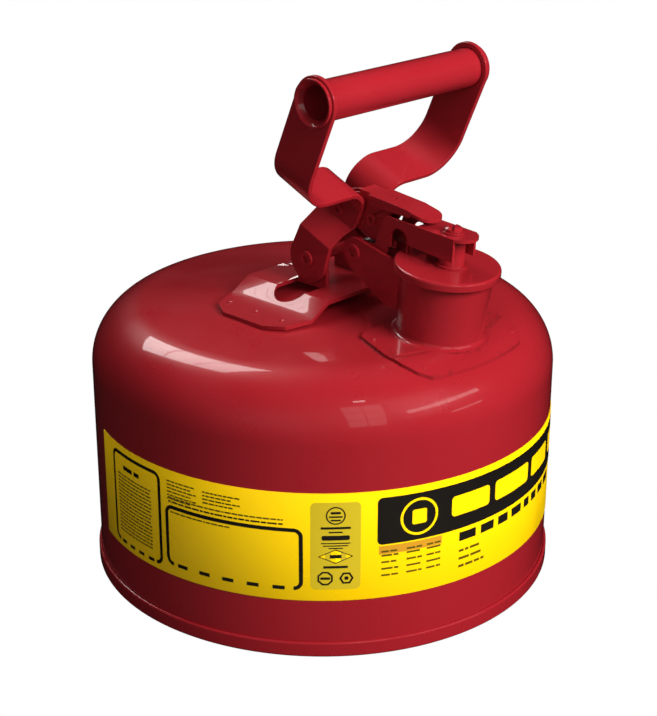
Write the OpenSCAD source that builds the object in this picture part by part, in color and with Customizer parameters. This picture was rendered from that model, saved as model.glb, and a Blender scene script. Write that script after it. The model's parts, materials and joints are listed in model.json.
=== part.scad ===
// Round steel safety can with a swinging carrying handle and a self-closing lid.
// Origin: centre of the bottom, on the plane the can stands on. +X points from the
// can's centre towards the filler neck, +Y along the grip, +Z up. Millimetres.

/* [Body] */
// Outside diameter of the straight wall
body_d = 238.5; // [236:0.5:241]
// Height at which the wall turns into the shoulder
wall_h = 110.2; // [106:0.2:116]
// Radius of the shoulder
shoulder_r = 30.3; // [28:0.1:32]
// Fall of the conical top from its centre to the shoulder, degrees
dome_fall = 5.3; // [4.8:0.1:5.8]
// Thickness of the body sheet
sheet = 1.0; // [0.8:0.1:1.2]
// How far the seam at the bottom stands out from the wall
seam_out = 1.5; // [1.2:0.1:2]
// Height of the bottom seam
seam_h = 8; // [7:0.5:10]
// Height of the bottom pan above the ground
pan_h = 12; // [10:1:20]

/* [Label] */
// Lower edge of the label band
label_low = 30.5; // [25:0.5:40]
// Upper edge of the label band
label_high = 87; // [70:1:100]
// Angle that the band covers, degrees
label_arc = 250; // [180:5:300]
// Direction in which the band starts, degrees from +X
label_start = -112; // [-130:1:-90]

/* [Neck] */
// Distance of the neck's mouth from the can's axis
mouth_x = 82.7; // [80:0.1:85]
// Height of the mouth above the centre of the dome
mouth_h = 26.2; // [24:0.1:29]
// Forward lean of the neck, degrees
neck_lean = 6; // [5:0.5:7]
// Outside diameter of the neck tube
neck_d = 42.6; // [41:0.2:44]
// Diameter of the lid's cap
cap_d = 51.6; // [50:0.2:54]

/* [Handle] */
// Distance of the handle pivot from the can's axis
swing_x = 6.5; // [5:0.5:8]
// Height of the handle pivot above the centre of the dome
swing_h = 17.7; // [17.5:0.1:19]
// Forward lean of the handle when it rests on the lid lever, degrees
handle_lean = 23.3; // [22:0.1:24]
// Distance from the handle pivot to the grip's axis, along the handle
grip_reach = 100.7; // [98:0.1:110]
// Outside width over the two arms
handle_w = 108.6; // [100:0.2:120]
// Outside diameter of the grip tube
grip_d = 19.2; // [18:0.2:22]
// Width of the arm strap
strap_w = 24.8; // [23:0.2:26]
// Thickness of the arm strap
strap_t = 2.6; // [2:0.1:3]

/* [Lid] */
// Distance of the lid hinge from the can's axis
hinge_x = 32.5; // [32:0.1:33.5]
// Height of the lid hinge above the centre of the dome
hinge_h = 25.7; // [25:0.1:26.5]
// Outside width of the lid lever
lever_w = 17; // [16.8:0.1:17.4]
// Forward fall of the lever's top, degrees
lever_fall = 3.5; // [3:0.5:4]

/* [Hidden] */

// Clearances: parts that touch, parts that turn on each other
touch = 0.02;
run = 0.05;
// Overshoot of a cutter past the face it cuts
cut = 1;

body_r = body_d / 2;
knee_r = body_r - shoulder_r;
// The shoulder stops just short of tangent, which leaves a fine crease at the crown
crown_fall = dome_fall - 0.6;
crown_r = knee_r + shoulder_r * sin(crown_fall);
crown_z = wall_h + shoulder_r * cos(crown_fall);
peak_z = crown_z + crown_r * tan(dome_fall);
neck_r = neck_d / 2;
neck_bore_r = neck_r - 1.2;
// How much wider the neck gets towards its mouth
neck_flare = 1;
// Radius of the rolled lip round the mouth
lip_r = 1.2;
cap_r = cap_d / 2;
cap_t = 1.2;
cap_top = 3.2;
skirt_low = -0.9;
gasket_t = cap_top - cap_t - 2 * touch;

// Base bracket: a saddle plate whose middle stands clear of the dome
saddle_x = 4;
saddle_half = 28.5;
saddle_t = 2;
saddle_low = 2.7;
ear_out = 14.3;
ear_t = 2;
slot_w = 20;
slot_end = 37;
// Handle arm: half widths over the plates beside the lever and at the pivot
plate_out = 8;
foot_out = 17.5;
foot_x = -1.7;
eye_r = 12.5;
arm_out = handle_w / 2;
swing_pin_r = 3;
lid_pin_r = 2.5;
carrier_out = 5.3;
carrier_t = 1.6;
lever_t = 1.5;
lever_top = 22.9;
lever_nose = 65.3;
post_s = 52.2;
bracket_out = 11.4;
bracket_t = 2;

red = [0.72, 0.05, 0.07];
steel = [0.72, 0.72, 0.7];

// --- Placing -------------------------------------------------------------------

// Heights from the centre of the dome
module on_dome() { translate([0, 0, peak_z]) children(); }

// Neck frame: z = 0 in the plane of the mouth, z along the neck
module in_neck() {
    on_dome() translate([mouth_x, 0, mouth_h]) rotate([0, neck_lean, 0]) children();
}

// Lever frame: origin on the lid hinge, x along the lever's top
module in_lever() {
    on_dome() translate([hinge_x, 0, hinge_h]) rotate([0, lever_fall, 0]) children();
}

// Handle frame: origin on the grip's axis, z along the handle
module in_handle() {
    on_dome()
    translate([swing_x, 0, swing_h])
    rotate([0, handle_lean, 0])
    translate([-foot_x, 0, grip_reach])
    children();
}

// A flat plate between two values of y, from an outline in x and z
module side_plate(low, high) {
    translate([0, high, 0]) rotate([90, 0, 0]) linear_extrude(high - low) children();
}

// The same plate on both sides
module both_plates(out, t) {
    side_plate(-out, -out + t) children();
    side_plate(out - t, out) children();
}

// A round bar along y, centred
module bar(r, length) { rotate([90, 0, 0]) cylinder(r = r, h = length, center = true, $fn = 64); }

// Tubular rivet along y: shank, two heads and a hollow in each head
module rivet(shank_r, head_r, grip, head_h) {
    difference() {
        union() {
            bar(shank_r, grip);
            for (side = [-1, 1])
                translate([0, side * (grip / 2 + head_h / 2), 0]) bar(head_r, head_h);
        }
        for (side = [-1, 1])
            translate([0, side * (grip / 2 + head_h), 0]) bar(head_r * 0.5, 2 * head_h);
    }
}

// --- Can -----------------------------------------------------------------------

// Half section of everything inside the dome's outer surface moved in by inset
module dome_section(inset, low) {
    difference() {
        union() {
            translate([0, low]) square([body_r - inset, wall_h - low]);
            intersection() {
                translate([knee_r, wall_h]) circle(r = shoulder_r - inset, $fn = 128);
                translate([knee_r - cut, wall_h - cut]) square(shoulder_r + 2 * cut);
            }
            polygon([
                [0, wall_h - cut],
                [knee_r, wall_h - cut],
                [knee_r, wall_h],
                [crown_r - inset * sin(crown_fall), crown_z - inset * cos(crown_fall)],
                [0, peak_z - inset / cos(dome_fall)]
            ]);
        }
        translate([-cut, low - cut]) square([cut, peak_z]);
    }
}

// A skin that follows the dome between two heights above its surface
module dome_skin(from, to) {
    rotate_extrude($fn = 256) difference() {
        dome_section(-to, wall_h - 8);
        dome_section(-from, wall_h - 9);
    }
}

module neck_hole(r) { in_neck() translate([0, 0, -60]) cylinder(r = r, h = 60, $fn = 96); }

module can_body() {
    color(red) difference() {
        rotate_extrude($fn = 256) difference() {
            dome_section(0, 1.2);
            dome_section(sheet, 1.2 - cut);
        }
        neck_hole(neck_r + run);
    }
}

module bottom_pan() {
    inner_r = body_r - sheet - touch;
    hook_r = body_r + touch;
    seam_r = body_r + seam_out;
    round_r = 0.7;
    color(red) rotate_extrude($fn = 256) {
        difference() {
            union() {
                translate([inner_r - 2, 0]) square([seam_r - inner_r + 2 - round_r, 1.1]);
                translate([hook_r, round_r]) square([seam_out - touch, seam_h - 2 * round_r]);
                translate([hook_r, 0]) square([seam_out - touch - round_r, seam_h]);
                for (z = [round_r, seam_h - round_r])
                    translate([seam_r - round_r, z]) circle(r = round_r, $fn = 32);
                translate([inner_r - 2, 0]) square([2, pan_h]);
            }
            translate([inner_r, 1.1]) square([sheet + 2 * touch, seam_h]);
        }
        translate([0, pan_h - 1]) square([inner_r - 1, 1]);
    }
}

module label_band() {
    color([0.98, 0.86, 0.05]) intersection() {
        difference() {
            cylinder(r = body_r + 0.27, h = label_high, $fn = 256);
            translate([0, 0, -cut]) cylinder(r = body_r + touch, h = label_high + 2 * cut, $fn = 256);
            translate([0, 0, -cut]) cylinder(r = body_r + cut, h = label_low + cut, $fn = 256);
        }
        linear_extrude(label_high) polygon(concat(
            [[0, 0]],
            [for (i = [0:10]) let (a = label_start + label_arc * i / 10)
                2 * body_r * [cos(a), sin(a)]]
        ));
    }
}

// --- Neck ----------------------------------------------------------------------

// Outline of the neck's welding plate on the dome
module flange_outline() {
    intersection() {
        polygon([
            [57, -30], [59, -34], [80, -40], [91, -40], [98, -37.5], [103, -33], [110, -24],
            [110, 24], [103, 33], [98, 37.5], [91, 40], [80, 40], [59, 34], [57, 30]
        ]);
        circle(r = 108.5, $fn = 192);
    }
}

module neck_flange() {
    plate_t = 1.5;
    fillet_r = 2.6;
    seat = mouth_h + (mouth_x - 4) * tan(dome_fall);
    color(red) difference() {
        union() {
            intersection() {
                dome_skin(touch, plate_t);
                translate([0, 0, wall_h]) linear_extrude(peak_z) flange_outline();
            }
            difference() {
                in_neck() translate([0, 0, -seat - 1]) rotate_extrude($fn = 96) difference() {
                    translate([neck_r - cut, 0]) square([fillet_r + cut, fillet_r + 2]);
                    translate([neck_r + fillet_r, fillet_r + 2]) circle(r = fillet_r, $fn = 64);
                }
                rotate_extrude($fn = 256) dome_section(-touch, wall_h - 9);
            }
        }
        neck_hole(neck_r + touch);
    }
}

module filler_neck() {
    color(red) in_neck() rotate_extrude($fn = 96) difference() {
        union() {
            translate([neck_bore_r, -44]) square([neck_r - neck_bore_r, 43]);
            polygon([
                [neck_bore_r, -27], [neck_r, -27], [neck_r + neck_flare, -5],
                [neck_r + neck_flare, -lip_r], [neck_bore_r, -lip_r]
            ]);
            translate([neck_bore_r, -2 * lip_r])
                square([neck_r + neck_flare - neck_bore_r, 2 * lip_r]);
            translate([neck_r + neck_flare, -lip_r]) circle(r = lip_r, $fn = 48);
        }
        translate([0, -60]) square([neck_bore_r, 80]);
    }
}

module arrester_collar() {
    ring_r = neck_bore_r - run;
    color(steel) in_neck() rotate_extrude($fn = 96) {
        translate([ring_r - 0.9, -16]) square([0.9, 12]);
        translate([ring_r - 3, -16]) square([3, 0.9]);
    }
}

module arrester_screen() {
    screen_r = neck_bore_r - run - 2.2;
    color(steel) in_neck() translate([0, 0, -96 + touch]) difference() {
        cylinder(r = screen_r, h = 80 - 2 * touch, $fn = 96);
        translate([0, 0, -cut]) cylinder(r = screen_r - 0.8, h = 80 + 2 * cut, $fn = 96);
    }
}

module arrester_end_cap() {
    screen_r = neck_bore_r - run - 2.2;
    color(steel) in_neck() translate([0, 0, -97]) {
        cylinder(r = screen_r + 1, h = 1, $fn = 96);
        difference() {
            cylinder(r = screen_r + 1, h = 8, $fn = 96);
            translate([0, 0, 1]) cylinder(r = screen_r + touch, h = 8, $fn = 96);
        }
    }
}

// --- Brackets ------------------------------------------------------------------

// Section of the saddle plate in y and height: wings on the dome, raised middle
function saddle_line(t) = let (wing = -50 * tan(dome_fall) + touch) [
    [-60, wing - 10 * tan(dome_fall) + t], [-40, wing + 10 * tan(dome_fall) + t],
    [-29, saddle_low + t], [29, saddle_low + t],
    [40, wing + 10 * tan(dome_fall) + t], [60, wing - 10 * tan(dome_fall) + t]
];

module reverse_polygon(upper, lower) {
    polygon(concat(upper, [for (i = [len(lower) - 1:-1:0]) lower[i]]));
}

// Outline of one lanced ear: straight sides and a round top about the pivot
module ear_outline() {
    translate([swing_x, swing_h]) circle(r = slot_w / 2, $fn = 64);
    translate([swing_x - slot_w / 2, saddle_low]) square([slot_w, swing_h - saddle_low]);
}

module base_bracket() {
    color(red) on_dome() difference() {
        union() {
            intersection() {
                translate([saddle_x - 60, 0, 0]) rotate([90, 0, 90]) linear_extrude(120)
                    reverse_polygon(saddle_line(saddle_t), saddle_line(0));
                translate([0, 0, -20]) linear_extrude(60) polygon([
                    for (sx = [1, -1], i = [0:5]) let (
                        ys = [-60, -54, -42, 42, 54, 60],
                        xs = [14, 24, saddle_half, saddle_half, 24, 14],
                        k = sx > 0 ? i : 5 - i
                    ) [saddle_x + sx * xs[k], ys[k]]
                ]);
            }
            both_plates(ear_out, ear_t) ear_outline();
        }
        // Slots left by the ears that were bent up
        for (side = [-1, 1]) {
            translate([swing_x, side * (slot_end - slot_w / 2), -20])
                cylinder(r = slot_w / 2, h = 40, $fn = 64);
            translate([swing_x - slot_w / 2, side > 0 ? ear_out : -slot_end + slot_w / 2, -20])
                cube([slot_w, slot_end - slot_w / 2 - ear_out, 40]);
        }
        translate([swing_x, 0, swing_h]) bar(swing_pin_r + touch, 2 * ear_out + 2 * cut);
        // Spot-weld dimples on the wings
        for (side = [-1, 1], dx = [-18.5, 0, 18.5])
            translate([saddle_x + dx, side * 50, saddle_t - 50 * tan(dome_fall) + 0.9])
                sphere(r = 1.2, $fn = 24);
    }
}

module hinge_bracket() {
    ear = [[2, 7.3], [25, 2], [32, 0.4], [32, -24], [25.5, -22.2], [18, -20.5], [-1.5, -9]];
    color(red) difference() {
        on_dome() translate([hinge_x, 0, hinge_h]) {
            both_plates(bracket_out, bracket_t) {
                circle(r = 7.5, $fn = 64);
                polygon(concat([[-5.6, 5], [0, 7.5]], ear, [[-6.9, -3]]));
            }
            side_plate(-bracket_out, bracket_out)
                translate([24, -22]) square([bracket_t, 14]);
        }
        neck_hole(neck_r + neck_flare + touch);
        // Room for the rolled lip of the mouth
        in_neck() translate([0, 0, -3])
            cylinder(r = neck_r + neck_flare + lip_r + touch, h = 12, $fn = 96);
        on_dome() translate([hinge_x, 0, hinge_h]) bar(lid_pin_r + touch, 2 * bracket_out + 2 * cut);
    }
}

module swing_pin() {
    grip = 2 * (foot_out + 0.2);
    color(red) on_dome() translate([swing_x, 0, swing_h]) rivet(swing_pin_r, 4, grip, 1.3);
}

module pin_washers() {
    gap = foot_out - strap_t - ear_out;
    color(steel) on_dome() translate([swing_x, 0, swing_h])
        for (side = [-1, 1]) translate([0, side * (ear_out + gap / 2), 0]) difference() {
            bar(6, gap - 4 * run);
            bar(swing_pin_r + run, gap + cut);
        }
}

// --- Lid -----------------------------------------------------------------------

module lid_pin() {
    grip = 2 * (bracket_out + touch);
    color(red) on_dome() translate([hinge_x, 0, hinge_h]) rivet(lid_pin_r, 4.2, grip, 1.3);
}

// Torsion spring: coils round the lid pin, one leg under the lever, one on the bracket
spring_wire_r = 0.7;
spring_coil_r = 4.1;
spring_half = 2.6;
spring_turns = 4;
function spring_coil(i, n) = let (a = 360 * (spring_turns + 0.25) * i / n - 20) [
    spring_coil_r * cos(a), -spring_half + 2 * spring_half * i / n, -spring_coil_r * sin(a)
];

module lid_spring() {
    steps = 96;
    sides = 8;
    coil = [for (i = [0:steps]) spring_coil(i, steps)];
    path = concat([[19, -spring_half, 5]], coil, [[22, spring_half, -14]]);
    count = len(path);
    function heading(i) = let (
        d = path[min(i + 1, count - 1)] - path[max(i - 1, 0)]
    ) d / norm(d);
    function ring(i) = let (
        d = heading(i),
        u = cross(d, [0, 1, 0.001]) / norm(cross(d, [0, 1, 0.001])),
        v = cross(d, u)
    ) [for (k = [0:sides - 1])
        path[i] + spring_wire_r * (cos(360 * k / sides) * u + sin(360 * k / sides) * v)];
    points = [for (i = [0:count - 1]) each ring(i)];
    walls = [for (i = [0:count - 2], k = [0:sides - 1])
        let (n = (k + 1) % sides)
        [i * sides + k, i * sides + n, (i + 1) * sides + n, (i + 1) * sides + k]];
    ends = [[for (k = [sides - 1:-1:0]) k], [for (k = [0:sides - 1]) (count - 1) * sides + k]];
    color(steel) on_dome() translate([hinge_x, 0, hinge_h])
        polyhedron(points = points, faces = concat(walls, ends), convexity = 6);
}

// Side of the lever: shallow over the cap, with a leg down to the hinge
module lever_side() {
    circle(r = 6.3, $fn = 64);
    difference() {
        polygon([
            [15.1, lever_top - 2], [17, lever_top], [59.5, lever_top], [59.5, 11.4],
            [31.5, 12.2], [31.5, 8], [19.5, 8], [18.5, 4], [12, -3], [3, -5.5],
            [-2, 6], [8, 6.2], [11, 7]
        ]);
        translate([26, 13.5]) circle(r = 5.2, $fn = 48);
        translate([20.8, 0]) square([10.4, 13.5]);
    }
}

module lid_lever() {
    inner = lever_w - 2 * lever_t;
    color(red) in_lever() difference() {
        union() {
            both_plates(lever_w / 2, lever_t) lever_side();
            translate([17, -lever_w / 2, lever_top - lever_t])
                cube([lever_nose - lever_w / 2 - 17, lever_w, lever_t]);
            translate([lever_nose - lever_w / 2, 0, lever_top - lever_t])
                cylinder(r = lever_w / 2, h = lever_t, $fn = 64);
        }
        // The carrier's side plates pass through this notch as the lid opens
        translate([10, -inner / 2, lever_top - lever_t - cut]) cube([26, inner, lever_t + 2 * cut]);
        translate([post_s, 0, 0]) cylinder(r = 2.6, h = 40, $fn = 48);
        bar(lid_pin_r + run, 2 * lever_w);
    }
}

module lid_screw() {
    head_z = lever_top + 0.8 + 2 * touch;
    color(red) in_lever() translate([post_s, 0, 0]) difference() {
        union() {
            translate([0, 0, head_z - 9]) cylinder(r = 2.5, h = 9.5, $fn = 48);
            translate([0, 0, head_z]) cylinder(r = 4.5, h = 1.2, $fn = 48);
            translate([0, 0, head_z + 1.2]) cylinder(r1 = 4.5, r2 = 3.2, h = 0.9, $fn = 48);
        }
        rotate([0, 0, 35]) translate([-0.6, -6, head_z + 0.9]) cube([1.2, 12, 4]);
    }
}

module screw_washer() {
    color(red) in_lever() translate([post_s, 0, lever_top + touch]) difference() {
        cylinder(r = 5.6, h = 0.8, $fn = 48);
        translate([0, 0, -cut]) cylinder(r = 2.6, h = 3, $fn = 48);
    }
}

module lid_post() {
    color(red) difference() {
        in_lever() translate([post_s, 0, 0]) difference() {
            union() {
                cylinder(r = 6.4, h = lever_top - lever_t - touch, $fn = 64);
                intersection() {
                    cylinder(r = 9, h = 8, $fn = 64);
                    in_post_foot() cylinder(r = 8, h = 1.2, $fn = 64);
                }
            }
            translate([0, 0, lever_top - 10]) cylinder(r = 2.5 + touch, h = 12, $fn = 48);
        }
        in_neck() translate([0, 0, cap_top + touch - 40]) cylinder(r = 40, h = 40, $fn = 64);
    }
}

// From the post's frame to the neck frame's cap top
module in_post_foot() {
    rotate([0, neck_lean - lever_fall, 0]) translate([0, 0, 6.4]) children();
}

module lid_cap() {
    edge_r = 1.4;
    color(red) in_neck() rotate_extrude($fn = 128) difference() {
        union() {
            translate([0, skirt_low]) square([cap_r, cap_top - skirt_low - edge_r]);
            translate([0, skirt_low]) square([cap_r - edge_r, cap_top - skirt_low]);
            translate([cap_r - edge_r, cap_top - edge_r]) circle(r = edge_r, $fn = 48);
        }
        translate([-cut, skirt_low - cut])
            square([cap_r - cap_t + cut, cap_top - cap_t - skirt_low + cut]);
        square([2.2, 10]);
        translate([-3 * cut, skirt_low - cut]) square([3 * cut, 10]);
    }
}

module lid_gasket() {
    color([0.1, 0.1, 0.1]) in_neck() translate([0, 0, touch]) difference() {
        cylinder(r = cap_r - cap_t - 0.2, h = gasket_t, $fn = 96);
        translate([0, 0, -cut]) cylinder(r = 12, h = 5, $fn = 96);
    }
}

module gasket_retainer() {
    color(steel) in_neck() difference() {
        union() {
            translate([0, 0, -1]) cylinder(r = 17.5, h = 1, $fn = 96);
            translate([0, 0, -1]) cylinder(r = 12 - run, h = cap_top - cap_t + 1 - touch, $fn = 96);
        }
        translate([0, 0, -2]) cylinder(r = 10, h = 2.2, $fn = 96);
        translate([0, 0, -2]) cylinder(r = 2.2, h = 9, $fn = 48);
    }
}

module retainer_rivet() {
    color(steel) in_neck() {
        translate([0, 0, -1]) cylinder(r = 4.5, h = 1.2 - touch, $fn = 48);
        cylinder(r = 2.2 - touch, h = cap_top - touch, $fn = 48);
    }
}

// --- Handle --------------------------------------------------------------------

run_low = -54.1;
bend_out = 16.8;
bend_in = 11.5;
neck_z = -76;
foot_z = -87;
strap_top = 20;

// A block and a round bar right across the strap's width
module slab(y, z) { translate([-30, y[0], z[0]]) cube([60, y[1] - y[0], z[1] - z[0]]); }
module roller(y, z, r) {
    translate([-30, y, z]) rotate([0, 90, 0]) cylinder(r = r, h = 60, $fn = 96);
}

// Everything inside one arm's strap, moved in by inset: down, in along the run, down
module strap_fill(inset) {
    corner_r = bend_out + strap_t - inset;
    side = arm_out - inset;
    low = run_low + inset;
    in_y = plate_out + bend_in;
    slab([-inset, side], [low + corner_r, strap_top + inset]);
    slab([-inset, side - corner_r], [low, strap_top + inset]);
    roller(side - corner_r, low + corner_r, corner_r);
    difference() {
        slab([-inset, in_y], [neck_z - inset, low + cut]);
        roller(in_y, run_low - bend_in, bend_in + inset);
        slab([plate_out - inset, in_y + cut], [neck_z - inset - cut, run_low - bend_in]);
    }
}

// The strap with the flare and the foot below the plate
module strap() {
    difference() {
        strap_fill(0);
        strap_fill(strap_t);
    }
    translate([-30, 0, 0]) rotate([90, 0, 90]) linear_extrude(60) polygon([
        [plate_out - strap_t, neck_z + 2], [plate_out, neck_z + 2], [plate_out, neck_z],
        [foot_out, foot_z], [foot_out, -grip_reach - 15],
        [foot_out - strap_t, -grip_reach - 15], [foot_out - strap_t, foot_z],
        [plate_out - strap_t, neck_z]
    ]);
}

// One arm's outline right through: round eye, strap, narrowed foot, round end
module arm_blank() {
    half = strap_w / 2;
    bar(eye_r, 160);
    side_plate(-80, 80) translate([-half, neck_z + 4]) square([strap_w, -neck_z - 4]);
    side_plate(-80, 80) polygon([
        [-half, neck_z + 8], [half, neck_z + 8], [half, neck_z + 4], [9.2, neck_z - 5],
        [9.2, foot_z - 2], [foot_x + half * cos(20), half * sin(20) - grip_reach],
        [foot_x, -grip_reach],
        [foot_x - half * cos(10), half * sin(10) - grip_reach]
    ]);
    translate([foot_x, 0, -grip_reach]) bar(half, 160);
}

module arm(side) {
    color(red) in_handle() difference() {
        intersection() {
            mirror([0, side < 0 ? 1 : 0, 0]) strap();
            arm_blank();
        }
        bar(grip_d / 2 + run, 4 * arm_out);
        translate([foot_x, 0, -grip_reach]) bar(swing_pin_r + run, 4 * foot_out);
        translate([arm_rivet[0], 0, arm_rivet[1]]) bar(rivet_r + touch, 4 * plate_out);
    }
}

// Rivet through the arms and the carrier, and the one at the carrier's front
rivet_r = 1.8;
arm_rivet = [-0.7, -71.5];
front_rivet = [18, -65.2];

module left_arm() { arm(1); }
module right_arm() { arm(-1); }

module grip_tube() {
    tube_r = grip_d / 2;
    color(red) in_handle() difference() {
        union() {
            bar(tube_r, handle_w + 2 * touch);
            for (side = [-1, 1]) translate([0, side * (arm_out + 0.9), 0]) bar(11.4, 1.8 - 2 * touch);
        }
        bar(tube_r - 1.6, handle_w + 10);
        for (side = [-1, 1])
            translate([0, side * (arm_out + 1.8), 0]) rotate([side * 90, 0, 0])
                cylinder(r1 = 10.4, r2 = tube_r - 1.6, h = 3.2, $fn = 64);
    }
}

module carrier_outline() {
    difference() {
        polygon([
            [-11, -69], [5, -57.5], [28, -50.4], [27, -58], [25, -66], [36, -66.5],
            [37, -69.5], [20, -75], [-11, -75]
        ]);
        translate([foot_x, -grip_reach]) circle(r = 24, $fn = 64);
    }
}

module handle_carrier() {
    color(red) in_handle() difference() {
        both_plates(carrier_out, carrier_t) carrier_outline();
        for (p = [arm_rivet, front_rivet])
            translate([p[0], 0, p[1]]) bar(rivet_r + touch, 4 * carrier_out);
    }
}

// Tongue on the carrier: its rounded tip presses on the lever's top
tongue_rise = 17.3;
tongue_t = 1.6;
tongue_half = 7.6;
tongue_bend = 40;
tip_len = 15.6;
tip_fall = 7.3;

// The bent strip from the side: length and height
module tongue_side() {
    tip_x = tongue_bend + tip_len * cos(tip_fall);
    tip_z = -tip_len * sin(tip_fall);
    polygon([
        [0, 0], [tongue_bend, 0], [tip_x, tip_z],
        [tip_x + tongue_t * sin(tip_fall), tip_z + tongue_t * cos(tip_fall)],
        [tongue_bend + tongue_t * tan(tip_fall / 2), tongue_t], [0, tongue_t]
    ]);
}

// The strip in plan: narrow between the arm straps, round at the tip
module tongue_plan() {
    back_x = 9;
    wide_x = 17;
    round_x = tongue_bend + tip_len * cos(tip_fall) - tongue_half;
    polygon(concat(
        [[back_x, carrier_out], [back_x, -carrier_out],
         [wide_x, -carrier_out], [wide_x, -tongue_half]],
        [for (i = [0:24]) let (a = 7.5 * i - 90)
            [round_x + tongue_half * cos(a), tongue_half * sin(a)]],
        [[wide_x, tongue_half], [wide_x, carrier_out]]
    ));
}

module press_tongue() {
    color(red) in_handle() translate([-3, 0, -60 + touch]) rotate([0, -tongue_rise, 0])
        difference() {
            union() {
                intersection() {
                    side_plate(-tongue_half - cut, tongue_half + cut) tongue_side();
                    translate([0, 0, -10]) linear_extrude(20) tongue_plan();
                }
                // Lips bent down along both edges
                both_plates(tongue_half - 0.1, tongue_t)
                    polygon([[17.5, 1], [44, 1], [44, -1.9], [17.5, -3.8]]);
            }
            translate([28, 0, -cut]) cylinder(r = 1.1, h = 5, $fn = 32);
        }
}

module handle_rivets() {
    color(red) in_handle() {
        translate([arm_rivet[0], 0, arm_rivet[1]])
            rivet(rivet_r, 3, 2 * (plate_out + touch), 1.2);
        translate([front_rivet[0], 0, front_rivet[1]])
            rivet(rivet_r, 3, 2 * (carrier_out + touch), 1.2);
    }
}

can_body();
bottom_pan();
label_band();
neck_flange();
filler_neck();
arrester_collar();
arrester_screen();
arrester_end_cap();
base_bracket();
hinge_bracket();
swing_pin();
pin_washers();
lid_pin();
lid_spring();
lid_lever();
lid_screw();
screw_washer();
lid_post();
lid_cap();
lid_gasket();
gasket_retainer();
retainer_rivet();
left_arm();
right_arm();
grip_tube();
handle_carrier();
press_tongue();
handle_rivets();
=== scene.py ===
import json
import math

import bmesh
import bpy
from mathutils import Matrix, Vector


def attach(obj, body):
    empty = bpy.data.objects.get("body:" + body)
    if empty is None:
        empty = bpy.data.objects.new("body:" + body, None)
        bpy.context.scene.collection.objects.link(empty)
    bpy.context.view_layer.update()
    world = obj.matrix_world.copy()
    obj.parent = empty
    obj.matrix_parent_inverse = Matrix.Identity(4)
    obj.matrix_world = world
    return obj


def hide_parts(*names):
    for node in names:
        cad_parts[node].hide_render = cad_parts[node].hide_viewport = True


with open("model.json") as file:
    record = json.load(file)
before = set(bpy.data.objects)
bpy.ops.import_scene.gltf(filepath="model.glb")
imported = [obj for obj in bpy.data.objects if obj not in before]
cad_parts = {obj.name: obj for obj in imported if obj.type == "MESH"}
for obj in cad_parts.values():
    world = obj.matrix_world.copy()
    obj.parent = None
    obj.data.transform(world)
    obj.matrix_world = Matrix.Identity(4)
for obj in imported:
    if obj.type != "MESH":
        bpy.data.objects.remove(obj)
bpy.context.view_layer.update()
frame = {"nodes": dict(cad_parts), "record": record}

# Millimetres and degrees, in the frame of the CAD model
MM = 0.001
# Can body: wall, shoulder, and the height of the unrounded dome on the axis
WALL_R = 119.25
SHOULDER_R = 30.3
WALL_H = 110.2
PEAK_Z = 148.88
DOME_FALL = math.radians(5.3)
SHEET = 1.0
# Clearance between two pieces that touch
GAP = 0.02
# Neck: outside radius, middle of the mouth, forward lean
NECK_R = 21.3
MOUTH = Vector((82.7, 0, PEAK_Z + 26.2))
NECK_LEAN = math.radians(6)
# Label: heights on the wall, first angle and length round the wall, printed surface
LABEL_LOW = 30.5
LABEL_HIGH = 87.0
LABEL_START = -112.0
LABEL_ARC = 250.0
PRINT_R = WALL_R + 0.27
# Angle on the wall for one millimetre along it
DEG = 180 / (math.pi * WALL_R)


# --- Materials -------------------------------------------------------------------

def link(mat, a, b):
    mat.node_tree.links.new(a, b)


def add(mat, kind, **values):
    node = mat.node_tree.nodes.new(kind)
    for key, value in values.items():
        if key in node.inputs:
            node.inputs[key].default_value = value
        else:
            setattr(node, key, value)
    return node


def noise(mat, scale, detail=3.0, rough=0.55):
    coord = add(mat, "ShaderNodeTexCoord")
    tex = add(mat, "ShaderNodeTexNoise")
    tex.inputs["Scale"].default_value = scale
    tex.inputs["Detail"].default_value = detail
    tex.inputs["Roughness"].default_value = rough
    link(mat, coord.outputs["Object"], tex.inputs["Vector"])
    return tex.outputs["Fac"]


def ramp(mat, fac, low, high, start=0.3, end=0.7):
    node = add(mat, "ShaderNodeValToRGB")
    node.color_ramp.elements[0].position = start
    node.color_ramp.elements[1].position = end
    node.color_ramp.elements[0].color = low
    node.color_ramp.elements[1].color = high
    link(mat, fac, node.inputs["Fac"])
    return node.outputs["Color"]


def grey(v):
    return (v, v, v, 1)


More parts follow.
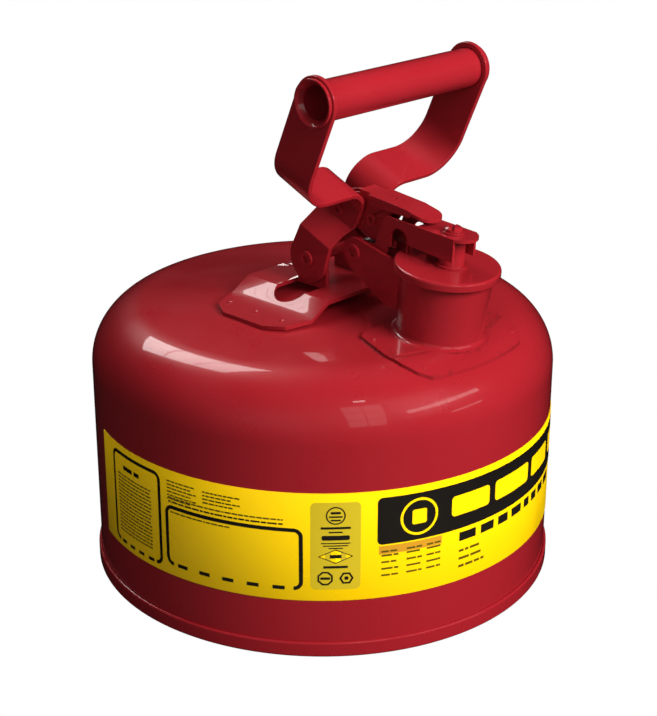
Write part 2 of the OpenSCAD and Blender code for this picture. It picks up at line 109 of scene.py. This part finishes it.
def material(name, low, high, rough, metal=0.0, coat=0.0, coat_rough=0.04, bump=0.02,
             grain=700.0, patch=9.0, worn=None, wear=0.0):
    """Procedural surface: two close shades, uneven roughness, fine bump, worn edges."""
    mat = bpy.data.materials.new(name)
    mat.use_nodes = True
    bsdf = mat.node_tree.nodes["Principled BSDF"]
    colour = ramp(mat, noise(mat, patch), (*low, 1), (*high, 1))
    if worn:
        geometry = add(mat, "ShaderNodeNewGeometry")
        edge = ramp(mat, geometry.outputs["Pointiness"], grey(0), grey(1), 0.54, 0.62)
        spots = ramp(mat, noise(mat, 260.0, 5.0), grey(0), grey(wear), 0.52, 0.68)
        both = add(mat, "ShaderNodeMath", operation="MULTIPLY")
        link(mat, edge, both.inputs[0])
        link(mat, spots, both.inputs[1])
        mix = add(mat, "ShaderNodeMix", data_type="RGBA")
        link(mat, both.outputs[0], mix.inputs[0])
        link(mat, colour, mix.inputs[6])
        mix.inputs[7].default_value = (*worn, 1)
        colour = mix.outputs[2]
    link(mat, colour, bsdf.inputs["Base Color"])
    rough_ramp = ramp(mat, noise(mat, 35.0, 4.0), grey(rough * 0.8), grey(rough * 1.25))
    link(mat, rough_ramp, bsdf.inputs["Roughness"])
    bsdf.inputs["Metallic"].default_value = metal
    bsdf.inputs["Coat Weight"].default_value = coat
    bsdf.inputs["Coat Roughness"].default_value = coat_rough
    height = add(mat, "ShaderNodeBump")
    height.inputs["Strength"].default_value = bump
    height.inputs["Distance"].default_value = 0.0004
    link(mat, noise(mat, grain, 2.0), height.inputs["Height"])
    link(mat, height.outputs["Normal"], bsdf.inputs["Normal"])
    return mat


ENAMEL = material("red_enamel", (0.25, 0.0085, 0.013), (0.29, 0.0105, 0.0165), 0.32, coat=1.0,
                  coat_rough=0.012, bump=0.05, grain=420.0, worn=(0.12, 0.01, 0.01), wear=0.6)
SHELL = material("red_enamel_shell", (0.26, 0.009, 0.0135), (0.285, 0.0103, 0.016), 0.32, coat=1.0,
                 coat_rough=0.012, bump=0.012, grain=420.0, patch=6.0)
BAND = material("label_film", (0.95, 0.6, 0.0), (0.97, 0.62, 0.0), 0.3, coat=0.15,
                coat_rough=0.08, bump=0.02, grain=900.0)
GOLD = material("label_gold", (0.52, 0.38, 0.01), (0.57, 0.42, 0.015), 0.35, coat=0.5,
                coat_rough=0.08, bump=0.02)
INK = material("label_ink", (0.006, 0.005, 0.004), (0.012, 0.01, 0.008), 0.3, coat=0.5,
               coat_rough=0.08, bump=0.02)
FINE_INK = material("label_fine_ink", (0.06, 0.045, 0.003), (0.1, 0.075, 0.004), 0.4,
                    bump=0.02)
HEAD_INK = material("label_head_ink", (0.5, 0.22, 0.01), (0.55, 0.26, 0.015), 0.4, bump=0.02)
STEEL = material("bare_steel", (0.5, 0.5, 0.48), (0.62, 0.61, 0.59), 0.28, metal=1.0,
                 bump=0.08, worn=(0.25, 0.2, 0.15), wear=0.4)
SPRING = material("spring_steel", (0.36, 0.35, 0.34), (0.45, 0.44, 0.43), 0.35, metal=1.0,
                  bump=0.06)
RUBBER = material("seal_rubber", (0.012, 0.012, 0.012), (0.022, 0.022, 0.022), 0.65,
                  bump=0.2, grain=300.0)

SLOT_MATERIAL = {
    "red_enamel": ENAMEL, "label_print": BAND, "bare_steel": STEEL,
    "spring_steel": SPRING, "seal_rubber": RUBBER,
}


# --- Mesh tools --------------------------------------------------------------------

def piece(name, verts, faces, mat, body="can", stands_for=()):
    mesh = bpy.data.meshes.new(name)
    mesh.from_pydata([tuple(c * MM for c in v) for v in verts], [], faces)
    mesh.materials.append(mat)
    mesh.validate()
    obj = bpy.data.objects.new(name, mesh)
    bpy.context.scene.collection.objects.link(obj)
    bm = bmesh.new()
    bm.from_mesh(mesh)
    bmesh.ops.remove_doubles(bm, verts=bm.verts, dist=1e-6)
    bmesh.ops.recalc_face_normals(bm, faces=bm.faces)
    for edge in bm.edges:
        if len(edge.link_faces) == 2 and edge.calc_face_angle() > math.radians(35):
            edge.smooth = False
    bm.to_mesh(mesh)
    bm.free()
    for polygon in mesh.polygons:
        polygon.use_smooth = True
    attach(obj, body)
    if stands_for:
        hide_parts(*stands_for)
    return obj


def soften(obj, width, angle=32.0):
    """Rolls every sharp edge and keeps flat faces flat."""
    bevel = obj.modifiers.new("edge", "BEVEL")
    bevel.width = width * MM
    bevel.segments = 2
    bevel.limit_method = "ANGLE"
    bevel.angle_limit = math.radians(angle)
    bevel.harden_normals = True
    bevel.miter_outer = "MITER_ARC"
    normal = obj.modifiers.new("normals", "WEIGHTED_NORMAL")
    normal.keep_sharp = True
    normal.weight = 90


def lathe(profile, count=360, start=0.0, arc=360.0, closed=True):
    """Verts and faces of a profile of (radius, height) turned about Z."""
    whole = arc >= 360
    rings = count if whole else count + 1
    verts = []
    for i in range(rings):
        a = math.radians(start + arc * i / count)
        verts += [(r * math.cos(a), r * math.sin(a), z) for r, z in profile]
    n = len(profile)
    faces = []
    for i in range(count):
        a, b = i * n, ((i + 1) % rings) * n
        for k in range(n if closed else n - 1):
            m = (k + 1) % n
            faces.append((a + k, b + k, b + m, a + m))
    if not whole:
        faces.append(tuple(range(n)))
        faces.append(tuple(count * n + k for k in reversed(range(n))))
    return verts, faces


def arc_points(cx, cz, r, a0, a1, count):
    return [(cx + r * math.cos(math.radians(a0 + (a1 - a0) * i / count)),
             cz + r * math.sin(math.radians(a0 + (a1 - a0) * i / count)))
            for i in range(count + 1)]


# --- Can shell ---------------------------------------------------------------------

def shell_line(inset):
    """The can's outside from the seam to the middle of the dome, moved in by inset."""
    r, knee = WALL_R - inset, WALL_R - SHOULDER_R
    fall = math.degrees(DOME_FALL)
    line = [(r, 1.2), (r, 8.2), (r, 9.5), (r, 60.0), (r, WALL_H - 4)]
    line += arc_points(knee, WALL_H, SHOULDER_R - inset, 0, 90 - fall - 0.4, 30)
    crown_r, crown_z = line[-1]
    steps = 22
    for i in range(1, steps):
        ring_r = crown_r * (1 - i / steps)
        line.append((ring_r, crown_z + (crown_r - ring_r) * math.tan(DOME_FALL)))
    return line


def in_neck_bore(point):
    """Whether a point of the dome's sheet lies where the neck goes through it."""
    axis = Vector((math.sin(NECK_LEAN), 0, math.cos(NECK_LEAN)))
    off = point - MOUTH
    return point.z > WALL_H and (off - axis * off.dot(axis)).length < NECK_R + 1.2


def build_shell():
    """Two skins of sheet, joined at the bottom rim and open where the neck goes in."""
    profile = shell_line(0) + shell_line(SHEET)[::-1]
    turns = 360
    verts, faces = lathe(profile, turns, closed=False)
    n = len(profile)
    for i in range(turns):
        a, b = i * n, ((i + 1) % turns) * n
        faces.append((a + n - 1, b + n - 1, b, a))
    kept = [f for f in faces
            if not in_neck_bore(sum((Vector(verts[k]) for k in f), Vector()) / len(f))]
    piece("can_shell", verts, kept, SHELL, stands_for=("can_body",))


def build_seam():
    """Rolled bottom seam with the recessed pan inside it."""
    seam_r = WALL_R + 1.5
    pan_r = WALL_R - SHEET - GAP
    pan_z = 10.0
    pan_bend = 2.5
    low = 1.1
    line = [(WALL_R + GAP, 7.6), (WALL_R + 0.35, 8.0)]
    line += arc_points(seam_r - 1.0, 7.0, 1.0, 80, 0, 6)
    line += arc_points(seam_r - 1.3, 1.3, 1.3, 0, -90, 6)
    line += [(pan_r - 0.8, 0.0)]
    line += arc_points(pan_r - 0.8, 1.2, 1.2, -90, -180, 4)
    line += [(pan_r - 2.0, pan_z)]
    line += arc_points(pan_r - 4.5, pan_z, pan_bend, 0, 90, 5)
    line += [(60.0, pan_z + pan_bend), (0.01, pan_z + pan_bend)]
    line += [(0.01, pan_z + pan_bend - SHEET), (pan_r - 4.5, pan_z + pan_bend - SHEET)]
    line += arc_points(pan_r - 4.5, pan_z, pan_bend - SHEET, 90, 0, 5)[1:]
    line += [(pan_r - 3.0, 5.0), (pan_r - 2.0, 1.4), (pan_r, low), (WALL_R + GAP, low)]
    verts, faces = lathe(line)
    soften(piece("bottom_seam", verts, faces, ENAMEL, stands_for=("bottom_pan",)), 0.15, 40)


build_shell()
build_seam()

# --- Label -------------------------------------------------------------------------

def build_sheet():
    edge = 0.1
    verts, faces = lathe(
        [(WALL_R + GAP, LABEL_LOW), (PRINT_R - edge / 2, LABEL_LOW), (PRINT_R, LABEL_LOW + edge),
         (PRINT_R, LABEL_HIGH - edge), (PRINT_R - edge / 2, LABEL_HIGH),
         (WALL_R + GAP, LABEL_HIGH)],
        250, LABEL_START, LABEL_ARC)
    piece("label_sheet", verts, faces, BAND, stands_for=("label_band",))


build_sheet()


def on_wall(a, z, r):
    t = math.radians(a)
    return (r * math.cos(t), r * math.sin(t), z)


class Print:
    """Flat shapes printed on the band: (angle in degrees, height in mm), as thin solids."""

    def __init__(self, level):
        self.low = PRINT_R + 0.01
        self.high = PRINT_R + 0.05 * level
        self.verts = []
        self.faces = []

    def grid(self, rows):
        """rows of points of equal length; every row runs from one side to the other."""
        base = len(self.verts)
        n, m = len(rows), len(rows[0])
        for r in (self.high, self.low):
            for row in rows:
                self.verts += [on_wall(a, z, r) for a, z in row]
        top = lambda i, k: base + i * m + k
        low = lambda i, k: base + n * m + i * m + k
        for i in range(n - 1):
            for k in range(m - 1):
                self.faces.append((top(i, k), top(i + 1, k), top(i + 1, k + 1), top(i, k + 1)))
                self.faces.append((low(i, k), low(i, k + 1), low(i + 1, k + 1), low(i + 1, k)))
            for k in (0, m - 1):
                self.faces.append((top(i, k), low(i, k), low(i + 1, k), top(i + 1, k)))
        for k in range(m - 1):
            for i in (0, n - 1):
                self.faces.append((top(i, k), top(i, k + 1), low(i, k + 1), low(i, k)))

    def panel(self, a0, a1, z0, z1, round_r=0.0, slant=0.0):
        """A box with rounded corners; slant shifts the top along the wall, in degrees."""
        rows = []
        width = (a1 - a0) / DEG
        count = max(2, int(width / 1.5))
        spots = [i / count for i in range(count + 1)]
        if round_r:
            edge = min(round_r / width, 0.5)
            ease = [edge * (1 - math.cos(math.pi * i / 12)) for i in range(7)]
            spots = sorted(set([round(s, 5) for s in spots if edge < s < 1 - edge]
                               + [round(s, 5) for s in ease]
                               + [round(1 - s, 5) for s in ease]))
        for s in spots:
            drop = 0.0
            if round_r:
                d = min(s, 1 - s) * width
                if d < round_r:
                    drop = round_r - math.sqrt(max(round_r ** 2 - (round_r - d) ** 2, 0))
            a = a0 + (a1 - a0) * s
            drop = min(drop, (z1 - z0) / 2 - 0.01)
            rows.append([(a, z0 + drop), (a + slant, z1 - drop)])
        self.grid(rows)

    def loop(self, outer, inner):
        """A closed band between two outlines with the same number of points."""
        self.grid([[o, i] for o, i in zip(outer + outer[:1], inner + inner[:1])])

    def frame(self, a0, a1, z0, z1, line, round_r, open_bottom=False):
        """A rounded frame: corner points in each round corner, steps along each side."""
        corner, steps = 9, 40

        def outline(inset):
            r = max(round_r - inset, 0.2)
            points = []
            corners = [(a1, z1, 0), (a0, z1, 90), (a0, z0, 180), (a1, z0, 270)]
            for a, z, turn in corners:
                cx = a - DEG * (r + inset) * (1 if a == a1 else -1)
                cz = z - (r + inset) * (1 if z == z1 else -1)
                for i in range(corner):
                    t = math.radians(turn + 90 * i / (corner - 1))
                    points.append((cx + DEG * r * math.cos(t), cz + r * math.sin(t)))
            # Long sides need points along the curve of the wall
            dense = []
            for i, p in enumerate(points):
                q = points[(i + 1) % len(points)]
                dense.append(p)
                if i % corner == corner - 1:
                    dense += [(p[0] + (q[0] - p[0]) * k / steps,
                               p[1] + (q[1] - p[1]) * k / steps) for k in range(1, steps)]
            return dense

        outer, inner = outline(0), outline(line)
        if not open_bottom:
            self.loop(outer, inner)
            return
        # The lower side is left open between its two corners, for the dashes
        first = 3 * corner + 2 * (steps - 1)
        rows = list(zip(outer, inner))
        keep = rows[first + steps - 1:] + rows[:first]
        self.grid([[o, i] for o, i in keep])

    def disc(self, a, z, r, hole=0.0, sides=40, turn=0.0):
        def ring(radius):
            return [(a + DEG * radius * math.cos(2 * math.pi * i / sides + turn),
                     z + radius * math.sin(2 * math.pi * i / sides + turn))
                    for i in range(sides)]
        self.loop(ring(r), ring(max(hole, 0.02)))

    def text_line(self, a0, a1, z, height, words, seed):
        """A line of generic bars in place of words; the bars' lengths vary with the seed."""
        total = (a1 - a0) / DEG
        pos, k = 0.0, seed
        while pos < total - height:
            k = (k * 1103515245 + 12345) % 2 ** 31
            length = height * (1.2 + 3.0 * ((k >> 16) % 100) / 100) * words
            length = min(length, total - pos)
            self.panel(a0 + DEG * pos, a0 + DEG * (pos + length), z - height / 2,
                       z + height / 2)
            pos += length + height * 0.75

    def build(self, name, mat):
        return piece(name, self.verts, self.faces, mat)


black = Print(2)
fine = Print(2)
gold = Print(1)
over = Print(3)
heading = Print(1)

# Narrow panel at the band's left end
black.frame(-105.8, -86.2, 33.3, 83.7, 1.8, 4.5, open_bottom=True)
for i in range(4):
    black.panel(-102.6 + 3.8 * i, -100.6 + 3.8 * i, 33.3, 35.0)
black.text_line(-100.6, -92.6, 76.0, 2.2, 1.4, 3)
for i in range(17):
    fine.text_line(-103.3, -89.6, 71.5 - 1.95 * i, 0.75, 1.2, 11 + 7 * i)

# Large blank panel with fine lines above it
black.frame(-84.8, -50.0, 36.0, 68.7, 1.9, 4.5, open_bottom=True)
for i in range(5):
    black.panel(-81.4 + 6.1 * i, -78.6 + 6.1 * i, 36.0, 37.9)
for i in range(6):
    fine.text_line(-84.0, -75.6 - 1.5 * (i % 2), 81.4 - 1.85 * i, 0.7, 1.1, 5 + 13 * i)
for i in range(4):
    fine.text_line(-73.8, -64.4 - 1.8 * (i % 2), 81.0 - 1.85 * i, 0.7, 1.1, 17 + 9 * i)
fine.text_line(-83.8, -54.5, 72.8, 0.7, 1.2, 91)
black.text_line(-83.8, -54.5, 70.6, 0.8, 1.4, 57)
fine.text_line(-83.2, -67.0, 65.2, 0.7, 1.2, 23)

# Darker block with plain marks
gold.panel(-48.3, -37.0, 36.6, 82.4, 2.5)
MARK = -42.65
DIAMOND_Z = 54.2
OCTAGON_Z = 42.6


def diamond(wide, high):
    return [(MARK + wide, DIAMOND_Z), (MARK, DIAMOND_Z + high),
            (MARK - wide, DIAMOND_Z), (MARK, DIAMOND_Z - high)]


over.disc(MARK, 75.6, 4.6, 4.0)
over.panel(MARK - 1.1, MARK + 1.1, 76.4, 77.6)
over.panel(MARK - 1.5, MARK + 1.5, 74.6, 75.4)
over.panel(MARK - 1.1, MARK + 1.1, 72.8, 73.6)
over.panel(-46.0, -39.3, 68.6, 69.7)
over.panel(-44.2, -41.1, 66.6, 67.3)
over.panel(-45.8, -39.5, 62.8, 65.2, 0.8)
for i, w in enumerate((3.3, 2.8, 1.6)):
    over.panel(MARK - w, MARK + w, 60.9 - 1.3 * i, 61.4 - 1.3 * i)
over.loop(diamond(4.0, 3.8), diamond(3.6, 3.3))
over.panel(MARK - 1.3, MARK + 1.3, 53.3, 55.1)
over.panel(-45.4, -39.9, 48.0, 49.2)
over.disc(-45.0, OCTAGON_Z, 3.9, 3.0, 8, math.pi / 8)
over.panel(-46.1, -43.9, 42.0, 43.2)
over.disc(-40.2, OCTAGON_Z, 3.4, 2.4, 6)
over.disc(-40.2, OCTAGON_Z, 1.1, 0, 6)
yellow = Print(2)
yellow.loop(diamond(3.6, 3.3), diamond(0.01, 0.01))

# Wide black panel with a ring and plain blocks in place of a name
black.panel(-33.2, 62.0, 58.8, 83.3, 2.5)
ring = Print(3)
ring.disc(-23.2, 70.9, 9.7, 8.4, 64)
ring.panel(-25.0, -21.4, 67.1, 74.7, 1.0)
for left, right in ((-14.8, -3.4), (-1.4, 12.6), (14.6, 26.0), (29.0, 56.0)):
    ring.panel(left, right, 66.2, 76.8, 2.0)
black.text_line(-12.4, 30.0, 54.2, 4.6, 0.75, 29)

# Small table and three short lines
heading.panel(-32.8, -17.3, 53.6, 58.0)
for i in range(5):
    z = 56.4 - 3.5 * i if i else 55.0
    fine.text_line(-32.2, -28.2, z, 0.95, 1.5, 41 + i)
    fine.text_line(-26.2, -22.4, z, 0.95, 2.2, 61 + i)
    fine.text_line(-21.2, -17.6, z, 0.95, 2.2, 81 + i)
for i in range(3):
    fine.text_line(-12.4, -4.6 - 1.2 * (i == 0), 46.6 - 4.2 * i, 1.3, 1.3, 19 + i)
black.text_line(41.0, 60.0, 50.0, 2.0, 1.2, 7)

# The far end carries only fine lines in a frame
black.frame(66.0, 132.0, 34.0, 83.5, 0.9, 4.0)
for i in range(9):
    fine.text_line(70.0, 128.0 - 6.0 * (i % 3), 78.0 - 4.6 * i, 1.0, 1.4, 101 + 3 * i)

black.build("label_black_print", INK)
fine.build("label_fine_print", FINE_INK)
gold.build("label_gold_block", GOLD)
over.build("label_block_marks", INK)
yellow.build("label_diamond_fill", BAND)
ring.build("label_ring_and_bars", BAND)
heading.build("label_table_heading", HEAD_INK)


# --- Weld marks --------------------------------------------------------------------

def dome_z(x, y):
    return PEAK_Z - math.hypot(x, y) * math.tan(DOME_FALL)


def weld_spots(name, places, radius, depth):
    """Shallow round press marks with a raised rim; places are point and slope."""
    verts, faces = [], []
    line = [(0.01, -0.2), (0.01, 0.12), (radius * 0.45, 0.16), (radius * 0.7, depth),
            (radius * 0.85, depth * 0.9), (radius, 0.0), (radius * 0.98, -0.2)]
    for x, y, z, tilt_x, tilt_y in places:
        v, f = lathe(line, 28)
        base = len(verts)
        verts += [(x + a, y + b, z + c + a * tilt_x + b * tilt_y) for a, b, c in v]
        faces += [tuple(k + base for k in face) for face in f]
    piece(name, verts, faces, ENAMEL)


flange_t = 1.5
knee_r = WALL_R - SHOULDER_R
flange_spots = []
for x, y in ((98.0, -32.5), (101.6, 19.6), (98.0, 32.5), (66.0, -33.0), (66.0, 33.0)):
    r = math.hypot(x, y)
    if r > knee_r + SHOULDER_R * math.sin(DOME_FALL):
        slope = -math.tan(math.asin(min((r - knee_r) / SHOULDER_R, 0.9)))
        z = WALL_H + math.sqrt(SHOULDER_R ** 2 - (r - knee_r) ** 2)
    else:
        slope = -math.tan(DOME_FALL)
        z = dome_z(x, y)
    flange_spots.append((x, y, z + flange_t, slope * x / r, slope * y / r))
weld_spots("flange_weld_spots", flange_spots, 1.3, 0.35)

plate_t = 2.05
wing_y = 50.5
plate_spots = [(x, side * wing_y, dome_z(0, wing_y) + plate_t, 0.0, -side * math.tan(DOME_FALL))
               for side in (-1, 1) for x in (-15.4, 3.6, 21.8)]
weld_spots("plate_weld_spots", plate_spots, 1.4, 0.35)


# --- CAD nodes that stay on show -----------------------------------------------------

def edge_width(name):
    """How far a node's sharp edges are rolled."""
    if name in {"left_arm", "right_arm", "base_bracket", "hinge_bracket"}:
        return 0.5
    if name in {"arrester_screen", "pin_washers", "screw_washer", "lid_gasket", "lid_screw"}:
        return 0.12
    return 0.32


shown_slots = {s["node"]: s["material_slot"] for s in frame["record"]["subparts"]}
replaced = {"can_body", "bottom_pan", "label_band"}
for name, obj in frame["nodes"].items():
    if name in replaced:
        continue
    obj.data.materials.clear()
    obj.data.materials.append(SLOT_MATERIAL[shown_slots[name]])
    for polygon in obj.data.polygons:
        polygon.use_smooth = True
    weld = obj.modifiers.new("weld", "WELD")
    weld.merge_threshold = 0.004 * MM
    if name != "lid_spring":
        soften(obj, edge_width(name))


# --- Studio ------------------------------------------------------------------------

def emission(name, colour, strength):
    mat = bpy.data.materials.new(name)
    mat.use_nodes = True
    nodes = mat.node_tree.nodes
    nodes.clear()
    out = nodes.new("ShaderNodeOutputMaterial")
    light = nodes.new("ShaderNodeEmission")
    light.inputs["Color"].default_value = (*colour, 1)
    light.inputs["Strength"].default_value = strength
    link(mat, light.outputs[0], out.inputs[0])
    return mat


def direction(az, el):
    a, e = math.radians(az), math.radians(el)
    return Vector((math.cos(e) * math.cos(a), math.cos(e) * math.sin(a), math.sin(e)))


# Lights and windows stand at this distance round the can's middle
AIM = Vector((0, 0, 0.12))
DISTANCE = 1.6


def softbox(name, az, el, width, height, power):
    data = bpy.data.lights.new(name, "AREA")
    data.shape = "RECTANGLE"
    data.size = width
    data.size_y = height
    data.energy = power
    obj = bpy.data.objects.new(name, data)
    obj.location = AIM + direction(az, el) * DISTANCE
    obj.rotation_euler = (AIM - obj.location).to_track_quat("-Z", "Y").to_euler()
    obj.visible_glossy = False
    bpy.context.scene.collection.objects.link(obj)


def window(name, az, el, width, height, strength, columns, rows, bar):
    """A bright window for reflections: panes, and bars that take this share of a pane."""
    centre = AIM + direction(az, el) * DISTANCE
    turn = (AIM - centre).to_track_quat("Z", "Y").to_matrix()
    verts, faces = [], []
    for i in range(columns):
        for k in range(rows):
            x0 = -width / 2 + width * (i + bar / 2) / columns
            x1 = -width / 2 + width * (i + 1 - bar / 2) / columns
            y0 = -height / 2 + height * (k + bar / 2) / rows
            y1 = -height / 2 + height * (k + 1 - bar / 2) / rows
            base = len(verts)
            verts += [tuple(centre + turn @ Vector(c)) for c in
                      ((x0, y0, 0), (x1, y0, 0), (x1, y1, 0), (x0, y1, 0))]
            faces.append((base, base + 1, base + 2, base + 3))
    mesh = bpy.data.meshes.new(name)
    mesh.from_pydata(verts, [], faces)
    mesh.materials.append(emission(name, (1.0, 0.95, 0.93), strength))
    obj = bpy.data.objects.new(name, mesh)
    bpy.context.scene.collection.objects.link(obj)
    obj.visible_camera = False
    obj.visible_shadow = False


softbox("top", 150, 62, 1.2, 1.2, 16)
softbox("key", 6, 32, 0.8, 0.8, 50)
softbox("front_fill", -66, 20, 1.2, 0.8, 5.0)
window("window_left", 175, 49, 0.56, 0.9, 5.0, 4, 3, 0.05)
window("window_back", 136.5, 20.3, 0.1, 0.036, 5.0, 2, 2, 0.2)
window("window_right", -25, 27, 0.5, 1.0, 0.8, 2, 3, 0.06)
window("window_pane", -23, 52, 0.13, 0.07, 6.0, 1, 1, 0.0)
window("window_side", 16, 25, 1.1, 0.15, 2.4, 6, 1, 0.05)
window("window_low", 24, 8, 0.5, 0.07, 1.6, 3, 1, 0.05)

floor_mesh = bpy.data.meshes.new("floor")
floor_mesh.from_pydata([(-6, -6, 0), (6, -6, 0), (6, 6, 0), (-6, 6, 0)], [], [(0, 1, 2, 3)])
floor = bpy.data.objects.new("floor", floor_mesh)
floor.location = (0, 0, -0.0002)
bpy.context.scene.collection.objects.link(floor)
floor_mat = bpy.data.materials.new("floor")
floor_mat.use_nodes = True
nodes = floor_mat.node_tree.nodes
bsdf = nodes["Principled BSDF"]
bsdf.inputs["Base Color"].default_value = (0.12, 0.11, 0.11, 1)
bsdf.inputs["Roughness"].default_value = 0.9
bsdf.inputs["Specular IOR Level"].default_value = 0.0
white = nodes.new("ShaderNodeEmission")
white.inputs["Strength"].default_value = 1.0
path = nodes.new("ShaderNodeLightPath")
blend = nodes.new("ShaderNodeMixShader")
link(floor_mat, path.outputs["Is Camera Ray"], blend.inputs[0])
link(floor_mat, bsdf.outputs[0], blend.inputs[1])
link(floor_mat, white.outputs[0], blend.inputs[2])
link(floor_mat, blend.outputs[0], nodes["Material Output"].inputs[0])
floor_mesh.materials.append(floor_mat)
floor.visible_glossy = False

world = bpy.data.worlds.new("studio")
bpy.context.scene.world = world
world.use_nodes = True
nodes = world.node_tree.nodes
back = nodes["Background"]
back.inputs["Color"].default_value = (1, 1, 1, 1)
path = nodes.new("ShaderNodeLightPath")
dim = nodes.new("ShaderNodeMapRange")
dim.inputs["To Min"].default_value = 0.085
dim.inputs["To Max"].default_value = 0.004
strength = nodes.new("ShaderNodeMix")
strength.inputs["B"].default_value = 1.0
wire = world.node_tree.links.new
wire(path.outputs["Is Glossy Ray"], dim.inputs["Value"])
wire(dim.outputs["Result"], strength.inputs["A"])
wire(path.outputs["Is Camera Ray"], strength.inputs["Factor"])
wire(strength.outputs["Result"], back.inputs["Strength"])

camera_data = bpy.data.cameras.new("camera")
camera_data.sensor_width = 36
camera_data.lens = 83.34
camera_data.shift_x = 0.0083
camera = bpy.data.objects.new("camera", camera_data)
camera.location = (0.5620, -0.5739, 0.4313)
view = Vector((0, 0, 0.1061)) - camera.location
camera.rotation_euler = view.to_track_quat("-Z", "Y").to_euler()
bpy.context.scene.collection.objects.link(camera)
bpy.context.scene.camera = camera
bpy.context.scene.view_settings.view_transform = "Standard"
